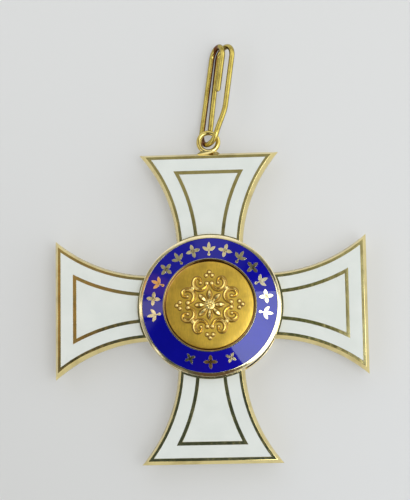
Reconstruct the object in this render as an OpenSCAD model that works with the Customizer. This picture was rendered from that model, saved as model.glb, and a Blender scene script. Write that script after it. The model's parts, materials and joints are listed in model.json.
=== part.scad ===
// Neck cross of an order: a flared gold cross with enamel in cells, a round medallion on each face,
// and a wire loop for the ribbon. It lies on its back, with its centre over the origin,
// the ribbon loop towards +Y and the front towards +Z.

/* [Cross] */
// Distance from the centre to the outer edge of the flat rim at an arm's tip
arm_reach = 25.7; // [24.6:0.1:26.6]
// Thickness of the arms
arm_thick = 3.0; // [2.8:0.1:3.6]
// Radius of the hollow curve along an arm's side, at the outer edge of the flat rim
side_radius = 25.9; // [25.8:0.1:26.2]
// Distance of that curve's centre from the arm's middle line
side_across = 30.93; // [30.7:0.01:31.2]
// Distance of that curve's centre from the cross's centre, along the arm
side_along = 9.5; // [9.2:0.1:9.8]
// Width of the steep bevel around the arms, seen from the front
bevel_width = 0.5; // [0.4:0.05:0.7]
// Height of that bevel
bevel_height = 1.1; // [0.8:0.05:1.3]

/* [Gold lines and enamel] */
// Width of the flat gold rim
rim_width = 0.5; // [0.3:0.01:0.6]
// Width of the outer band of white enamel
band_width = 2.07; // [1.8:0.01:2.3]
// Width of the inner gold line
line_width = 0.59; // [0.4:0.01:0.7]
// Depth of the cells that hold the enamel
cell_depth = 0.5; // [0.35:0.05:0.7]
// How far the enamel lies below the gold around it
enamel_drop = 0.03; // [0.01:0.01:0.08]
// Gap between an enamel fill and the metal
fit_gap = 0.03; // [0.02:0.01:0.05]

/* [Medallions] */
// Radius of a medallion
medallion_radius = 11.9; // [11.6:0.05:12]
// Width of the gold line on the arms around the medallion
halo_width = 0.32; // [0.2:0.02:0.5]
// Height of the front medallion's rim above the arms
front_rise = 1.2; // [1:0.05:1.5]
// Height of the back medallion above the arms' back
back_rise = 1.4; // [1.2:0.05:1.8]
// Width of the medallion's gold rim
setting_rim = 0.6; // [0.45:0.05:0.8]
// Thickness of the setting's plate
plate_thick = 0.4; // [0.3:0.05:0.5]
// Outer radius of the thin gold collar around the centre disc
collar_radius = 7.85; // [7.7:0.05:7.95]
// Wall of that collar
collar_wall = 0.28; // [0.2:0.02:0.34]
// Width of the dark groove between collar and disc
groove_width = 0.2; // [0.1:0.05:0.25]
// How far the blue ring rises from its outer to its inner edge
ring_rise = 0.46; // [0.3:0.02:0.5]
// Height of the centre disc's field above the medallion's rim
disc_rise = 0.42; // [0.3:0.02:0.6]
// Radius of the disc's rounded edge
disc_round = 0.55; // [0.3:0.05:0.7]

/* [Ornament] */
// Radius of the circle on which the gold motifs of the blue ring stand
motif_radius = 9.5; // [9.4:0.05:9.6]
// Height of a motif
motif_size = 2.4; // [2:0.05:2.6]
// Number of motifs in the long run over the top
run_count = 13; // [9:2:13]
// Half of the angle that the run covers
run_half_angle = 99; // [90:1:105]
// Angle between the three motifs at the bottom
base_step = 21; // [18:1:24]
// Width of the relief's scrolls
scroll_wire = 0.46; // [0.4:0.02:0.5]
// Distance of the scrolls' centres from the disc's centre
scroll_reach = 3.95; // [3.9:0.05:4.05]
// Radius of a scroll's large arc
curl_radius = 1.1; // [1:0.02:1.14]
// Radius of the arc that a scroll rolls into
curl_inner = 0.56; // [0.5:0.02:0.6]
// Height of the relief above the disc's field
relief_height = 0.3; // [0.2:0.02:0.4]
// Height of the step on the relief's flanks
relief_step = 0.2; // [0.1:0.02:0.2]
// Width of the relief above that step, as a share of its width at the field
relief_narrow = 0.56; // [0.5:0.02:0.7]

/* [Eye and ribbon loop] */
// Mean radius of the eye's ring
eye_radius = 1.64; // [1.6:0.01:1.7]
// Thickness of the eye's wire
eye_wire = 0.84; // [0.8:0.02:0.86]
// Height of the eye's centre above the arm's tip
eye_rise = 2.1; // [2.05:0.05:2.2]
// Thickness of the ribbon loop's wire
loop_wire = 0.93; // [0.85:0.01:0.95]
// Radius of the loop's round ends, at the middle of the wire
loop_bend = 2.1; // [2:0.05:2.15]
// Length of the loop's straight part
loop_straight = 13.35; // [12:0.05:15]
// How far the loop leans over to its right
loop_lean = 40; // [34:1:42]
// How far its far end swerves to the right
loop_swerve = 7.9; // [5:0.1:10]
// How far it dips towards its far end
loop_dip = 3.4; // [3.2:0.1:3.4]

/* [Hidden] */
$fn = 96;
gold = [0.80, 0.66, 0.30];
satin_gold = [0.74, 0.60, 0.24];
white_enamel = [0.93, 0.94, 0.93];
blue_enamel = [0.09, 0.07, 0.55];
right_turn = -90;

arm_back = back_rise;
arm_front = arm_back + arm_thick;
arm_middle = (arm_back + arm_front) / 2;
tip = arm_reach + bevel_width;
band_inset = rim_width;
line_inset = band_inset + band_width;
panel_inset = line_inset + line_width;
halo_radius = medallion_radius + halo_width;
ring_outer = medallion_radius - setting_rim;
collar_inner = collar_radius - collar_wall;
disc_radius = collar_inner - groove_width;
ring_top = front_rise - 0.1;
ring_span = ring_outer - collar_radius;
ring_slope = atan(ring_rise / ring_span);
// Height of the ring's surface where the motifs stand, and how far they reach below it into the plate
motif_z = ring_top + ring_rise * (ring_outer - motif_radius) / ring_span;
motif_deep = motif_z - plate_thick / 2;
front_foot = arm_front + fit_gap;
back_foot = back_rise - fit_gap;
back_ring_drop = 0.08;
// How far a cutter runs past the face that it opens
past = 1;
eye_y = tip + eye_rise;
// The loop's middle at the eye lies a little to the right, where its wire clears the hole all round
pivot_right = 0.15;
pivot = [pivot_right, eye_y + eye_radius, arm_middle];

// The flat outline of the upper arm, drawn in by inset from the outer edge of its flat rim
module arm_outline(inset) {
    difference() {
        translate([-arm_reach, 0]) square([2 * arm_reach, arm_reach - inset]);
        for (side = [-1, 1]) {
            translate([side * side_across, side_along]) circle(r = side_radius + inset);
        }
    }
}

// One enamel band or its cell: a U along the arm's sides and tip, open at the medallion
module band_outline(gap) {
    difference() {
        arm_outline(band_inset + gap);
        arm_outline(line_inset - gap);
        circle(r = halo_radius + gap);
    }
}

// One inner enamel panel or its cell
module panel_outline(gap) {
    difference() {
        arm_outline(panel_inset + gap);
        circle(r = halo_radius + gap);
    }
}

// The solid that hollows one side of one arm, with the bevels of both faces
module side_cutter() {
    translate([side_across, side_along, 0]) rotate_extrude()
        polygon([
            [0, arm_back - past], [side_radius, arm_back - past], [side_radius, arm_back],
            [side_radius - bevel_width, arm_back + bevel_height],
            [side_radius - bevel_width, arm_front - bevel_height],
            [side_radius, arm_front], [side_radius, arm_front + past], [0, arm_front + past]
        ]);
}

// A bar as wide as the whole cross with its long edges bevelled, along Y
module bevelled_bar() {
    rotate([90, 0, 0]) linear_extrude(height = 2 * (tip + past), center = true)
        polygon([
            [-arm_reach, arm_back], [-tip, arm_back + bevel_height], [-tip, arm_front - bevel_height],
            [-arm_reach, arm_front], [arm_reach, arm_front], [tip, arm_front - bevel_height],
            [tip, arm_back + bevel_height], [arm_reach, arm_back]
        ]);
}

module cross_blank() {
    difference() {
        intersection() {
            bevelled_bar();
            rotate([0, 0, 90]) bevelled_bar();
        }
        for (turn = [0:90:270]) rotate([0, 0, turn]) {
            intersection() {
                side_cutter();
                mirror([1, -1, 0]) side_cutter();
            }
        }
    }
}

// The eye's ring with the flared foot that solders it to the upper arm's tip
module eye() {
    foot_rise = 0.5;
    foot_sunk = 0.3;
    foot_low = 1.95;
    foot_high = 1.3;
    translate([0, eye_y, arm_middle]) rotate_extrude()
        translate([eye_radius, 0]) circle(r = eye_wire / 2, $fn = 48);
    translate([0, tip, arm_middle]) linear_extrude(height = eye_wire, center = true)
        polygon([
            [-foot_low, -foot_sunk], [foot_low, -foot_sunk], [foot_low, 0],
            [foot_high, foot_rise], [-foot_high, foot_rise], [-foot_low, 0]
        ]);
}

module cells() {
    linear_extrude(height = cell_depth + past) {
        band_outline(0);
        panel_outline(0);
    }
}

module cross_frame() {
    color(gold) union() {
        difference() {
            cross_blank();
            for (turn = [0:90:270]) rotate([0, 0, turn]) {
                translate([0, 0, arm_front - cell_depth]) cells();
                translate([0, 0, arm_back - past]) cells();
            }
        }
        eye();
    }
}

// Enamel fills one cell of arm number turn: 0 top, 1 right, 2 bottom, 3 left
module enamel_fill(turn, front) {
    fill = cell_depth - enamel_drop - fit_gap;
    floor_z = front ? arm_front - cell_depth + fit_gap : arm_back + enamel_drop;
    color(white_enamel) rotate([0, 0, right_turn * turn]) translate([0, 0, floor_z])
        linear_extrude(height = fill) children();
}

module enamel_band(turn, front) {
    enamel_fill(turn, front) band_outline(fit_gap);
}

module enamel_panel(turn, front) {
    enamel_fill(turn, front) panel_outline(fit_gap);
}

// A pointed leaf along +Y from the origin, grown on all sides by grow
module leaf(length, width, grow) {
    arc = (length * length + width * width) / (4 * width);
    intersection() {
        translate([arc - width / 2, length / 2]) circle(r = arc + grow);
        translate([width / 2 - arc, length / 2]) circle(r = arc + grow);
    }
}

// A flower of four leaves round a heart
module floret(size, grow) {
    leaf_width = size * 0.26;
    heart = size * 0.15;
    for (turn = [0:90:270]) rotate(turn) leaf(size / 2, leaf_width, grow);
    circle(r = heart + grow);
}

// Three leaves on a short stem with a bud at its foot
module sprig(size, grow) {
    leaf_width = size * 0.24;
    middle_leaf = size * 0.66;
    side_leaf = size * 0.55;
    side_turn = 56;
    fork = -size * 0.16;
    foot = -size * 0.42;
    stem = size * 0.09;
    stem_length = size * 0.34;
    bud = size * 0.1;
    translate([0, fork]) {
        leaf(middle_leaf, leaf_width, grow);
        for (turn = [-side_turn, side_turn]) rotate(turn) leaf(side_leaf, leaf_width, grow);
    }
    translate([-stem / 2 - grow, foot]) square([stem + 2 * grow, stem_length]);
    translate([0, foot]) circle(r = bud + grow);
}

// A motif's prism on the blue ring, with its top parallel to the ring's slope; around counts from the top
module on_ring(around, below, above) {
    rotate([0, 0, around]) translate([0, motif_radius, motif_z]) rotate([-ring_slope, 0, 0])
        translate([0, 0, -below]) linear_extrude(height = below + above) children();
}

// All motifs of the blue ring, from below to above its surface
module ring_motifs(grow, below, above) {
    step = 2 * run_half_angle / (run_count - 1);
    small = 0.8 * motif_size;
    for (i = [0:run_count - 1]) on_ring(run_half_angle - i * step, below, above) {
        if (i % 2 == 0) sprig(motif_size, grow);
        else floret(motif_size, grow);
    }
    on_ring(180, below, above) floret(motif_size, grow);
    for (side = [-1, 1]) on_ring(180 + side * base_step, below, above) rotate(45) floret(small, grow);
}

// Section of a setting; rim_top and collar_top are heights above the plate's foot, soft the rim's chamfer
module setting_section(rim_top, collar_top) {
    soft = 0.14;
    polygon([
        [0, 0], [medallion_radius, 0], [medallion_radius, rim_top - soft], [medallion_radius - soft, rim_top],
        [ring_outer + soft / 2, rim_top], [ring_outer, rim_top - soft], [ring_outer, plate_thick],
        [collar_radius, plate_thick], [collar_radius, collar_top], [collar_inner, collar_top],
        [collar_inner, plate_thick], [0, plate_thick]
    ]);
}

// Section of the enamel ring; rise lifts its inner edge
module ring_section(top, rise) {
    polygon([
        [collar_radius + fit_gap, plate_thick + fit_gap], [ring_outer - fit_gap, plate_thick + fit_gap],
        [ring_outer - fit_gap, top], [collar_radius + fit_gap, top + rise]
    ]);
}

module front_setting() {
    motif_proud = 0.03;
    collar_proud = 0.05;
    color(gold) translate([0, 0, front_foot]) union() {
        rotate_extrude() setting_section(front_rise, ring_top + ring_rise + collar_proud);
        ring_motifs(0, motif_deep, motif_proud);
    }
}

module front_ring_enamel() {
    color(blue_enamel) translate([0, 0, front_foot]) difference() {
        rotate_extrude() ring_section(ring_top, ring_rise);
        ring_motifs(fit_gap, ring_top + past, past);
    }
}

module mirrored_pair() {
    children();
    mirror([1, 0]) children();
}

// A stretch of a flat ring, from angle start over sweep degrees, with round ends
module arc_band(radius, width, start, sweep) {
    reach = 3 * radius;
    quarters = 4;
    intersection() {
        difference() {
            circle(r = radius + width / 2);
            circle(r = radius - width / 2);
        }
        polygon(concat([[0, 0]], [
            for (i = [0:quarters]) let (a = start + sweep * i / quarters) reach * [cos(a), sin(a)]
        ]));
    }
    for (end = [start, start + sweep]) rotate(end) translate([radius, 0]) circle(r = width / 2, $fn = 32);
}

// A scroll: a large arc that rolls into a smaller one, with a bead at its open end
module curl(width) {
    sweep = 215;
    inner_sweep = 175;
    bead = width * 0.8;
    arc_band(curl_radius, width, -sweep, sweep);
    translate([curl_radius - curl_inner, 0]) arc_band(curl_inner, width, 0, inner_sweep);
    rotate(-sweep) translate([curl_radius, 0]) circle(r = bead, $fn = 32);
}

// The rosette of the relief: leaves around the boss, four pairs of scrolls, and beads between them
module relief_outline(width) {
    leaf_foot = 0.75;
    leaf_length = 1.85;
    leaf_width = 0.75;
    spread = 22.5;
    roll = 60;
    bead_out = 5.5;
    bead_in = 4.95;
    bead_aside = 0.5;
    bead = width * 0.75;
    large_bead = width * 0.9;
    for (turn = [0:45:315]) rotate(turn) translate([0, leaf_foot])
        leaf(leaf_length, leaf_width, (width - scroll_wire) / 2);
    for (turn = [0:90:270]) rotate(turn) {
        mirrored_pair() rotate(-spread) translate([0, scroll_reach]) rotate(roll) curl(width);
        for (place = [[0, bead_out], [-bead_aside, bead_in], [bead_aside, bead_in]])
            translate(place) circle(r = bead, $fn = 32);
        rotate(45) translate([0, scroll_reach]) circle(r = large_bead, $fn = 32);
    }
}

// Section of the centre disc with its rounded edge; low is its underside
module disc_section(low, top) {
    translate([0, low]) square([disc_radius, top - disc_round - low]);
    translate([0, low]) square([disc_radius - disc_round, top - low]);
    translate([disc_radius - disc_round, top - disc_round]) circle(r = disc_round, $fn = 48);
}

module front_disc() {
    top = front_rise + disc_rise;
    sunk = 0.1;
    boss_low = 0.95;
    boss_mid = 0.8;
    boss_high = 0.4;
    boss_step = 0.28;
    boss_cap = 0.16;
    color(satin_gold) translate([0, 0, front_foot]) union() {
        rotate_extrude() disc_section(plate_thick + fit_gap, top);
        translate([0, 0, top - sunk]) linear_extrude(height = sunk + relief_step)
            relief_outline(scroll_wire);
        translate([0, 0, top - 1.5 * sunk]) linear_extrude(height = 1.5 * sunk + relief_height)
            relief_outline(scroll_wire * relief_narrow);
        translate([0, 0, top - 2 * sunk])
            cylinder(r1 = boss_low, r2 = boss_mid, h = 2 * sunk + boss_step);
        translate([0, 0, top + boss_step]) cylinder(r1 = boss_mid, r2 = boss_high, h = boss_cap);
    }
}

module back_setting() {
    color(gold) translate([0, 0, back_foot]) mirror([0, 0, 1])
        rotate_extrude() setting_section(back_foot, back_foot);
}

module back_ring_enamel() {
    color(blue_enamel) translate([0, 0, back_foot]) mirror([0, 0, 1])
        rotate_extrude() ring_section(back_foot - back_ring_drop, 0);
}

module back_disc() {
    color(gold) cylinder(r = disc_radius, h = back_rise - plate_thick - 2 * fit_gap);
}

function smooth(t) = t <= 0 ? 0 : t >= 1 ? 1 : t * t * (3 - 2 * t);
function unit(v) = v / norm(v);

// The loop's own directions: along it, from its lower to its upper side, and square to both
loop_along = [
    sin(loop_swerve) * cos(loop_dip), cos(loop_swerve) * cos(loop_dip), -sin(loop_dip)
];
loop_flat = unit(cross(loop_along, [0, 0, 1]));
loop_rise = cross(loop_flat, loop_along);
loop_side = cos(loop_lean) * loop_rise + sin(loop_lean) * loop_flat;
loop_axis = cross(loop_along, loop_side);

// A point of the wire: run along the loop, side between its two sides, shift to the right
function loop_point(run, side, shift) = pivot + run * loop_along + side * loop_side + [shift, 0, 0];

// Sideways places of the four straight stretches, from the first end of the wire to the last;
// the last one drifts to the right from the far bend on
shift_upper_first = -0.67;
shift_lower_first = 0;
shift_upper_last = 0.97;
shift_lower_far = 1.05;
shift_lower_last = 1.37;
first_end = 7.1;
last_end = 0.35;
bend_steps = 12;
loop_sides = 14;

// The wire crosses to the right from this turn of the near bend to this place along the loop
crossing_turn = 150;
crossing_run = 4.8;
crossing_steps = 6;
crossing_start = loop_bend * PI * crossing_turn / 180;
crossing_bend = loop_bend * PI - crossing_start;
function crossing_shift(gone) = shift_lower_first
    + (shift_upper_last - shift_lower_first) * smooth(gone / (crossing_bend + crossing_run));

function far_bend(from, to) = [
    for (i = [0:bend_steps]) let (turn = 180 * i / bend_steps, share = smooth(i / bend_steps))
        loop_point(loop_straight + loop_bend * sin(turn), loop_bend * cos(turn), from + (to - from) * share)
];

loop_path = concat(
    [loop_point(first_end, loop_bend, shift_upper_first)],
    far_bend(shift_upper_first, shift_lower_first),
    [loop_point(loop_straight / 2, -loop_bend, shift_lower_first)],
    [for (i = [0:bend_steps]) let (turn = 180 * i / bend_steps, gone = turn * PI / 180 * loop_bend)
        loop_point(-loop_bend * sin(turn), -loop_bend * cos(turn), crossing_shift(gone - crossing_start))],
    [for (i = [1:crossing_steps]) let (run = crossing_run * i / crossing_steps)
        loop_point(run, loop_bend, crossing_shift(crossing_bend + run))],
    far_bend(shift_upper_last, shift_lower_far),
    [loop_point(loop_straight / 2, -loop_bend, (shift_lower_far + shift_lower_last) / 2)],
    [loop_point(last_end, -loop_bend, shift_lower_last)]
);

// One ring of points around the path at its point number i
function loop_ring(i) = let (
    last = len(loop_path) - 1,
    ahead = unit(loop_path[min(i + 1, last)] - loop_path[max(i - 1, 0)]),
    out = unit(cross(loop_axis, ahead)),
    over = cross(ahead, out)
) [for (k = [0:loop_sides - 1]) let (a = 360 * k / loop_sides)
    loop_path[i] + loop_wire / 2 * (cos(a) * out + sin(a) * over)];

module ribbon_loop() {
    rings = len(loop_path);
    points = [for (i = [0:rings - 1]) each loop_ring(i)];
    first_cap = [for (k = [0:loop_sides - 1]) k];
    last_cap = [for (k = [loop_sides - 1:-1:0]) (rings - 1) * loop_sides + k];
    walls = [for (i = [0:rings - 2], k = [0:loop_sides - 1]) let (n = (k + 1) % loop_sides)
        [i * loop_sides + k, (i + 1) * loop_sides + k, (i + 1) * loop_sides + n, i * loop_sides + n]];
    color(gold) polyhedron(points = points, faces = concat([first_cap], walls, [last_cap]), convexity = 4);
}

cross_frame();
enamel_band(0, true);  // front_band_top
enamel_band(1, true);  // front_band_right
enamel_band(2, true);  // front_band_bottom
enamel_band(3, true);  // front_band_left
enamel_panel(0, true);  // front_panel_top
enamel_panel(1, true);  // front_panel_right
enamel_panel(2, true);  // front_panel_bottom
enamel_panel(3, true);  // front_panel_left
enamel_band(0, false);  // back_band_top
enamel_band(1, false);  // back_band_right
enamel_band(2, false);  // back_band_bottom
enamel_band(3, false);  // back_band_left
enamel_panel(0, false);  // back_panel_top
enamel_panel(1, false);  // back_panel_right
enamel_panel(2, false);  // back_panel_bottom
enamel_panel(3, false);  // back_panel_left
front_setting();
front_ring_enamel();
front_disc();
back_setting();
back_ring_enamel();
back_disc();
ribbon_loop();
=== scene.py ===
"""Looks of a neck cross on its back: polished gold, fired enamel, a cast centre disc and a wire loop.

Pieces are drawn in millimetres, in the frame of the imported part, and brought to metres when they are done.
"""
import json
import logging
import math
from dataclasses import dataclass, field
from enum import Enum
from typing import Iterable, Sequence

import bmesh
import bpy
from mathutils import Euler, Matrix, Vector


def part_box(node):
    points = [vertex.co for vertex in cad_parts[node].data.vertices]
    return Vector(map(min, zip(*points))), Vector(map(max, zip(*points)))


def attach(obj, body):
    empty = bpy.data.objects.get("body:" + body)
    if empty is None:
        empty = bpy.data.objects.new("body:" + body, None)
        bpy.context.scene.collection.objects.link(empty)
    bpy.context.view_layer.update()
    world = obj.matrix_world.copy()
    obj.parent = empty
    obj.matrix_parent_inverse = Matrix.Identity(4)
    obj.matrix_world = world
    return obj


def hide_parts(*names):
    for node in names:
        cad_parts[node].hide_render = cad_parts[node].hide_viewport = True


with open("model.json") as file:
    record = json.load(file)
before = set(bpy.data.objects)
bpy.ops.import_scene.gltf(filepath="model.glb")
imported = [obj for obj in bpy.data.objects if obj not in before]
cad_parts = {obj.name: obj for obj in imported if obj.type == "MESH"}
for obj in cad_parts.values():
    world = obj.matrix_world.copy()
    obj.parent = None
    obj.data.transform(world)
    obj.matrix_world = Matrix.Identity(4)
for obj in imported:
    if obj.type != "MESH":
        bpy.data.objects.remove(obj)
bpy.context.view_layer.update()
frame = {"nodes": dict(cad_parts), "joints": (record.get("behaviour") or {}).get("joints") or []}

LOG = logging.getLogger("order_cross")
BMesh = bmesh.types.BMesh
Vert = bmesh.types.BMVert
Edge = bmesh.types.BMEdge
Socket = bpy.types.NodeSocket
Pair = tuple[float, float]
Triple = tuple[float, float, float]
Colour = Triple

# Lengths in millimetres, turns in degrees.
MM = 0.001            # a millimetre in Blender's metres
MERGE = 1e-4          # vertices nearer than this are one
LEVEL = 0.01          # heights nearer than this are the same
CORNER = 25.0         # edges whose faces turn more than this are rounded
HALF, QUARTER, EIGHTH = 180.0, 90.0, 45.0
WIRE_SWERVE = 7.9     # how far the wire loop swerves to its right
DISC_FIELD = 6.57     # radius of the centre disc's field
DISC_DOME = 0.18      # how far that field falls from its middle to its lip
# The wire's flanks take painted shade by this attribute.
FLANK = "flank_shade"       # the wire's attribute: 0 on its crest, 1 on its flanks
UP = Vector((0.0, 0.0, 1.0))
STAY = Matrix.Identity(4)     # leaves a shape where it is


class Body(Enum):
    """The rigid bodies that pieces ride on."""

    CROSS = "cross"
    LOOP = "loop"


class Slot(Enum):
    """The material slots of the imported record."""

    FRAME = "frame_gold"
    SATIN = "satin_gold"
    WIRE = "wire_gold"
    WHITE = "white_enamel"
    BLUE = "blue_enamel"


class Face(Enum):
    """The two faces of the cross."""

    FRONT = "front"
    BACK = "back"


class Arm(Enum):
    """The four arms, in the order of their nodes."""

    TOP = "top"
    RIGHT = "right"
    BOTTOM = "bottom"
    LEFT = "left"


def turned(degrees: float, axis: str = "Z") -> Matrix:
    """Gives the matrix of a turn about an axis."""
    return Matrix.Rotation(math.radians(degrees), 4, axis)


def moved(x: float, y: float, z: float = 0.0) -> Matrix:
    """Gives the matrix of a move."""
    return Matrix.Translation((x, y, z))


def on_arc(radius: float, degrees: float) -> Vector:
    """Gives the point of a level arc about the origin, at an angle from +X."""
    return radius * Vector((math.cos(math.radians(degrees)), math.sin(math.radians(degrees)), 0.0))


def smooth(share: float) -> float:
    """Gives a smooth step from 0 to 1."""
    held = max(0.0, min(1.0, share))
    return held * held * (3 - 2 * held)


def set_inputs(node: bpy.types.Node, **values: object) -> None:
    """Sets constant values on a node's own sockets; an underscore stands for a space."""
    for name, value in values.items():
        node.inputs[name.replace("_", " ")].default_value = value


class Recipe:
    """Builds one node material on Object coordinates, step by step."""

    def __init__(self, name: str) -> None:
        """Starts a material with a shader and its output.

        Args:
            name: name of the material.
        """
        self.material = bpy.data.materials.new(name)
        self.material.use_nodes = True
        self.tree = self.material.node_tree
        self.tree.nodes.clear()
        self.shader = self.node("ShaderNodeBsdfPrincipled")
        output = self.node("ShaderNodeOutputMaterial")
        self.join(self.shader.outputs["BSDF"], output.inputs["Surface"])
        self.place = self.node("ShaderNodeTexCoord").outputs["Object"]

    def node(self, kind: str, **values: object) -> bpy.types.Node:
        """Adds a node.

        Args:
            kind: its type.
            values: constant values of its sockets.

        Returns:
            The new node.
        """
        node = self.tree.nodes.new(kind)
        set_inputs(node, **values)
        return node

    def join(self, source: Socket, target: Socket) -> None:
        """Links a socket to another."""
        self.tree.links.new(source, target)

    def drive(self, name: str, source: Socket) -> None:
        """Links a socket to one of the shader's own."""
        self.join(source, self.shader.inputs[name])

    def fixed(self, **values: object) -> None:
        """Sets constant values on the shader's own sockets."""
        set_inputs(self.shader, **values)

    def mapped(self, turn: float, stretch: Sequence[float] = (1.0, 1.0, 1.0)) -> Socket:
        """Gives the Object coordinates in a turned and stretched frame.

        Args:
            turn: turn of the frame about Z, in degrees.
            stretch: how much a pattern in it is squeezed along each axis.

        Returns:
            The vector socket.
        """
        mapping = self.node("ShaderNodeMapping", Scale=stretch, Rotation=(0.0, 0.0, math.radians(turn)))
        self.join(self.place, mapping.inputs["Vector"])
        return mapping.outputs["Vector"]

    def noise(self, size_mm: float, detail: float = 3.0, roughness: float = 0.5,
              squeeze: float = 1.0, turn: float = 0.0) -> Socket:
        """Adds a noise pattern.

        Args:
            size_mm: size of its largest features.
            detail: number of finer octaves.
            roughness: weight of these octaves.
            squeeze: less than 1 draws the pattern out along Y.
            turn: turn of the pattern about Z, in degrees.

        Returns:
            The factor socket, about 0.5 on average.
        """
        noise = self.node("ShaderNodeTexNoise", Scale=1.0 / (size_mm * MM), Detail=detail,
                          Roughness=roughness)
        self.join(self.mapped(turn, (1.0, squeeze, 1.0)), noise.inputs["Vector"])
        return noise.outputs["Fac"]

    def spread(self, source: Socket, low: float, high: float,
               to_low: float = 0.0, to_high: float = 1.0) -> Socket:
        """Maps a range of a factor smoothly onto another range.

        Args:
            source: the factor.
            low: lowest value that is read.
            high: highest value that is read.
            to_low: what the lowest becomes.
            to_high: what the highest becomes.

        Returns:
            The mapped socket.
        """
        ranged = self.node("ShaderNodeMapRange", From_Min=low, From_Max=high, To_Min=to_low,
                           To_Max=to_high)
        ranged.interpolation_type = "SMOOTHSTEP"
        self.join(source, ranged.inputs["Value"])
        return ranged.outputs["Result"]

    def blend(self, factor: Socket, first: Colour | Socket, second: Colour | Socket) -> Socket:
        """Mixes two colours.

        Args:
            factor: 0 gives the first colour, 1 the second.
            first: a colour or a socket.
            second: a colour or a socket.

        Returns:
            The mixed colour socket.
        """
        mix = self.node("ShaderNodeMix")
        mix.data_type = "RGBA"
        self.join(factor, mix.inputs["Factor"])
        for name, colour in (("A", first), ("B", second)):
            socket = next(s for s in mix.inputs if s.name == name and s.type == "RGBA")
            if isinstance(colour, Socket):
                self.join(colour, socket)
            else:
                socket.default_value = (*colour, 1.0)
        return next(s for s in mix.outputs if s.type == "RGBA")

    def bump(self, height: Socket, depth_mm: float) -> None:
        """Adds a bump on top of those before it.

        Args:
            height: its pattern.
            depth_mm: its depth.
        """
        bump = self.node("ShaderNodeBump", Strength=1.0, Distance=depth_mm * MM)
        self.join(height, bump.inputs["Height"])
        before = self.shader.inputs["Normal"]
        if before.is_linked:
            self.join(before.links[0].from_socket, bump.inputs["Normal"])
        self.join(bump.outputs["Normal"], before)

    def axis(self, name: str, turn: float = 0.0) -> Socket:
        """Gives one Object coordinate of the surface, in metres.

        Args:
            name: name of the axis.
            turn: turn about Z of the frame in which it is read, in degrees.

        Returns:
            The coordinate's socket.
        """
        split = self.node("ShaderNodeSeparateXYZ")
        self.join(self.mapped(turn), split.inputs["Vector"])
        return split.outputs[name]

    def math(self, operation: str, first: Socket, second: Socket | float | None = None) -> Socket:
        """Adds a Math node.

        Args:
            operation: its operation.
            first: its first value.
            second: its second value, a socket or a number, if it has one.

        Returns:
            The result's socket.
        """
        node = self.node("ShaderNodeMath")
        node.operation = operation
        self.join(first, node.inputs[0])
        if isinstance(second, Socket):
            self.join(second, node.inputs[1])
        elif second is not None:
            node.inputs[1].default_value = second
        return node.outputs["Value"]

    def radius(self) -> Socket:
        """Gives the distance of the surface from the Z axis, in metres."""
        squares = [self.math("MULTIPLY", self.axis(name), self.axis(name)) for name in "XY"]
        return self.math("SQRT", self.math("ADD", *squares))

    def attribute(self, name: str) -> Socket:
        """Gives a number that the mesh keeps for each of its points.

        Args:
            name: name of the mesh's attribute.

        Returns:
            The number's socket.
        """
        node = self.node("ShaderNodeAttribute")
        node.attribute_name = name
        return node.outputs["Fac"]

    def band(self, source: Socket, low_mm: float, high_mm: float, soft_mm: float) -> Socket:
        """Marks where a length lies between two values.

        Args:
            source: the length, in metres.
            low_mm: the lower value.
            high_mm: the higher value.
            soft_mm: over which length the mark fades outside them.

        Returns:
            A factor that is 1 between the values.
        """
        rising = self.spread(source, (low_mm - soft_mm) * MM, low_mm * MM)
        falling = self.spread(source, high_mm * MM, (high_mm + soft_mm) * MM, 1.0, 0.0)
        return self.math("MULTIPLY", rising, falling)


@dataclass(frozen=True)
class Zone:
    """A zone of a piece in another colour of gold, from some length outwards; the zone at the eye is painted
    shade.

    Attributes:
        by: the length that counts, "radius" or the name of an axis.
        from_mm: where the zone begins.
        bright: colour of its clean gold.
        toned: its colour where it has toned.
        fade_mm: over which length it fades in before it begins.
    """

    by: str
    from_mm: float
    bright: Colour
    toned: Colour
    fade_mm: float = 0.3

    def paint(self, recipe: Recipe, cloud: Socket, under: Socket) -> Socket:
        """Paints the zone.

        Args:
            recipe: the material.
            cloud: where the gold has toned.
            under: the colour under the zone.

        Returns:
            The new colour.
        """
        length = recipe.radius() if self.by == "radius" else recipe.axis(self.by)
        inside = recipe.spread(length, (self.from_mm - self.fade_mm) * MM, self.from_mm * MM)
        return recipe.blend(inside, under, recipe.blend(cloud, self.bright, self.toned))


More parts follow.
